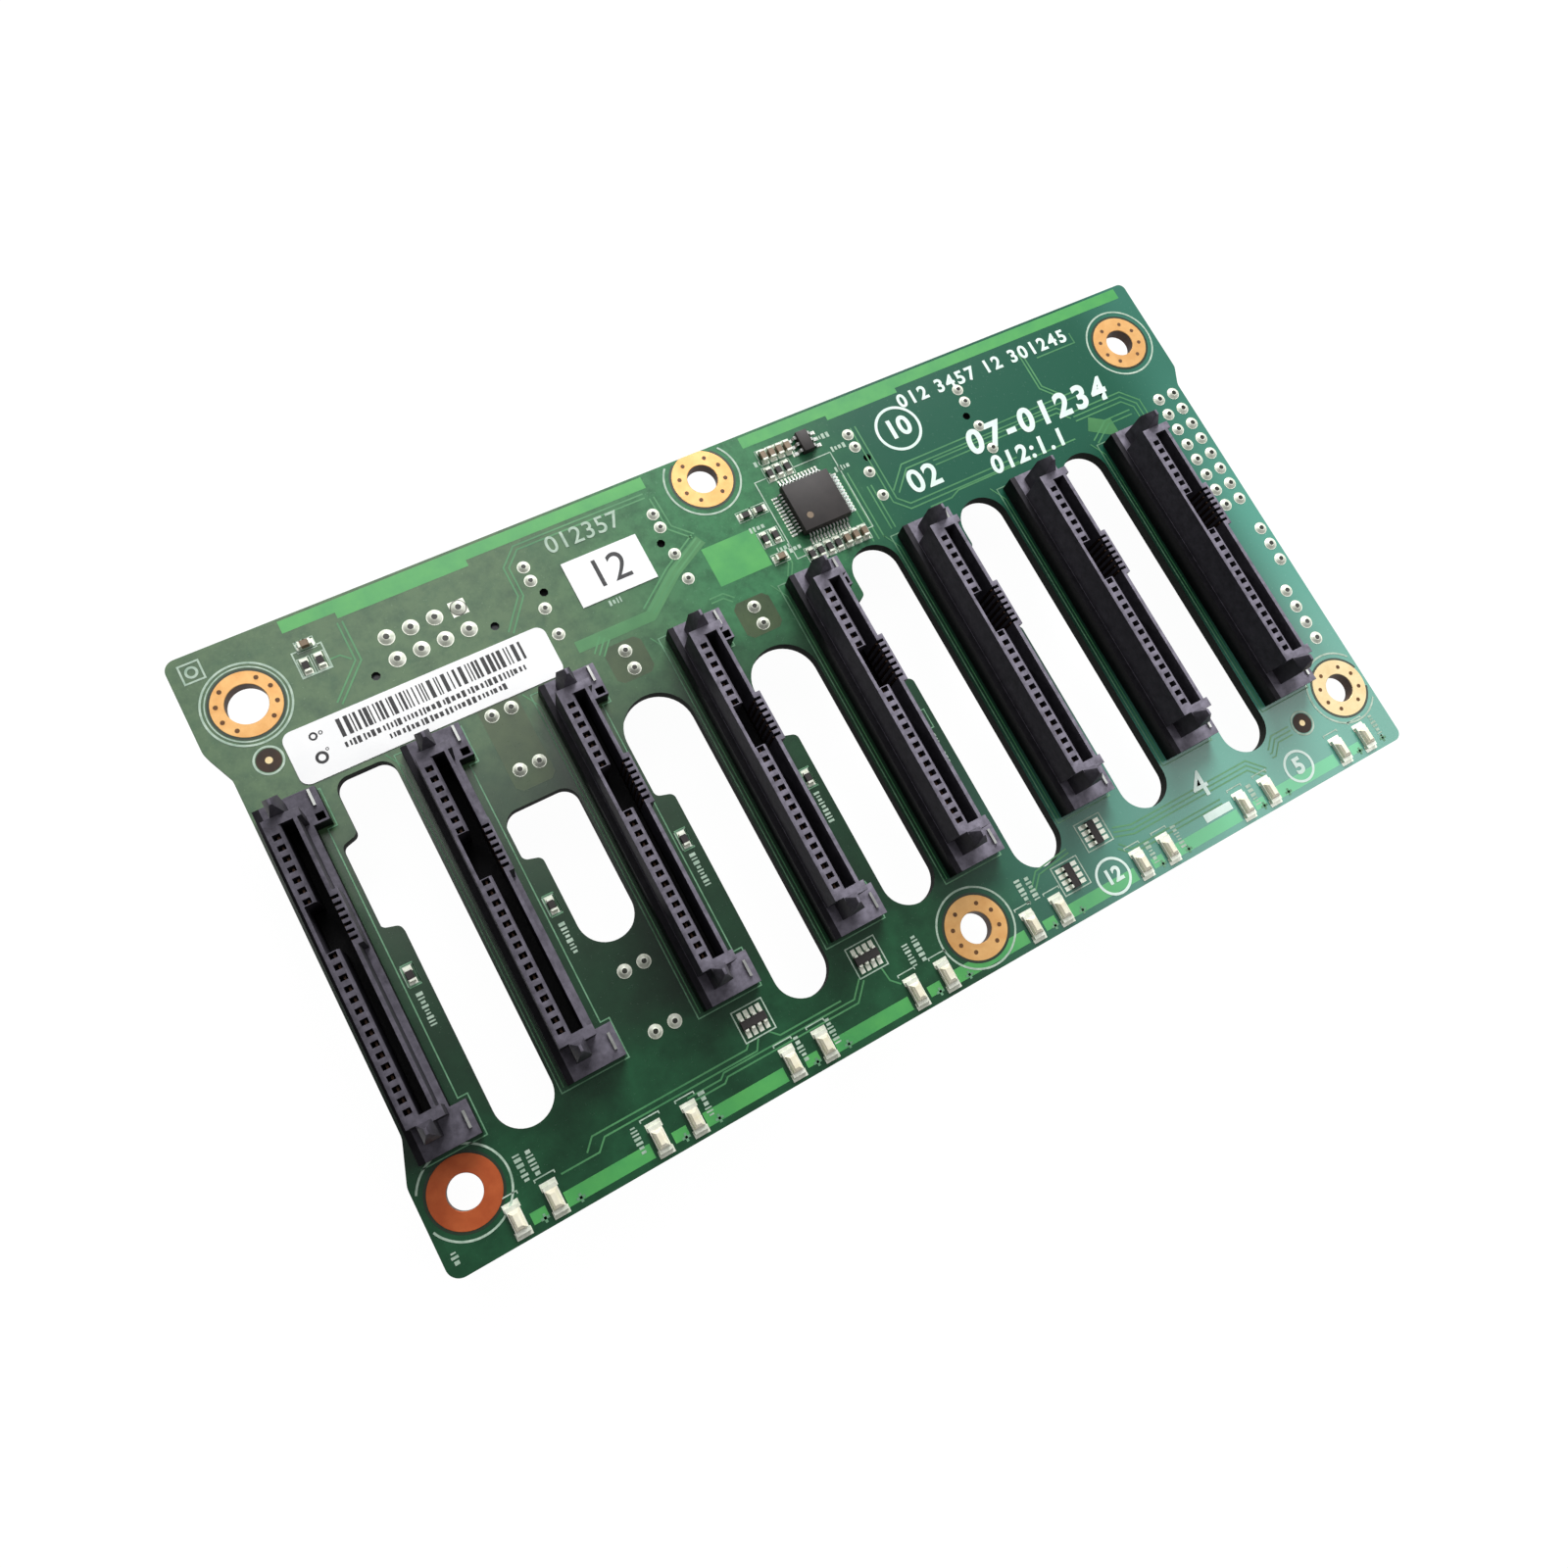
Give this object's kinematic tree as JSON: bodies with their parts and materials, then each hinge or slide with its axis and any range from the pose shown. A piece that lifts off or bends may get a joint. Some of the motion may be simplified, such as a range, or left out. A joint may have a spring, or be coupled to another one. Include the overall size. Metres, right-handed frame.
{
  "type": "drive backplane board",
  "caption": "Slotted circuit board with a row of eight drive receptacles, status lights and six screw holes, and cable and power sockets on its back.",
  "frame": {"origin": "under the middle of the board, at the foot of the tall parts on its back", "axes": "+X along the row of bays, +Y across the board towards the cable sockets, +Z towards the drives"},
  "size_m": [0.1384, 0.0754, 0.0199],
  "materials": {
    "board_laminate": "satin green solder mask with pale print",
    "black_housing": "moulded, matte black",
    "contact_gold": "gold flashed",
    "led_white": "cream white, clear lens",
    "tinned_metal": "tinned, satin",
    "chip_black": "moulded epoxy",
    "ceramic_tan": "fired ceramic",
    "label_white": "white film, printed in black",
    "solder": "bright solder",
    "cage_metal": "folded, nickel plated",
    "header_white": "natural nylon",
    "can_aluminium": "bare can"
  },
  "bodies": {
    "root": {"cable_socket_insert_1": "black_housing", "cable_socket_insert_2": "black_housing", "cable_socket_shell_1": "cage_metal", "cable_socket_shell_2": "cage_metal", "capacitor_1": "can_aluminium", "capacitor_2": "can_aluminium", "capacitor_3": "can_aluminium", "capacitor_4": "can_aluminium", "capacitor_5": "can_aluminium", "capacitor_6": "can_aluminium", "chip_capacitors": "ceramic_tan", "chip_leads": "tinned_metal", "chip_resistors": "chip_black", "circuit_board": "board_laminate", "controller_chip": "chip_black", "drive_contacts_1": "contact_gold", "drive_contacts_2": "contact_gold", "drive_contacts_3": "contact_gold", "drive_contacts_4": "contact_gold", "drive_contacts_5": "contact_gold", "drive_contacts_6": "contact_gold", "drive_contacts_7": "contact_gold", "drive_contacts_8": "contact_gold", "drive_receptacle_1": "black_housing", "drive_receptacle_2": "black_housing", "drive_receptacle_3": "black_housing", "drive_receptacle_4": "black_housing", "drive_receptacle_5": "black_housing", "drive_receptacle_6": "black_housing", "drive_receptacle_7": "black_housing", "drive_receptacle_8": "black_housing", "edge_header_middle": "black_housing", "edge_header_short": "black_housing", "edge_header_wide": "black_housing", "edge_pins_middle": "contact_gold", "edge_pins_short": "contact_gold", "edge_pins_wide": "contact_gold", "hold_down_clips": "tinned_metal", "long_label": "label_white", "power_header": "header_white", "power_pins": "tinned_metal", "regulator_chip": "chip_black", "resistor_array_1": "chip_black", "resistor_array_2": "chip_black", "resistor_array_3": "chip_black", "resistor_array_4": "chip_black", "short_label": "label_white", "solder_joints": "solder", "status_lights_1": "led_white", "status_lights_2": "led_white", "status_lights_3": "led_white", "status_lights_4": "led_white", "status_lights_5": "led_white", "status_lights_6": "led_white", "status_lights_7": "led_white", "status_lights_8": "led_white"}
  },
  "joints": []
}
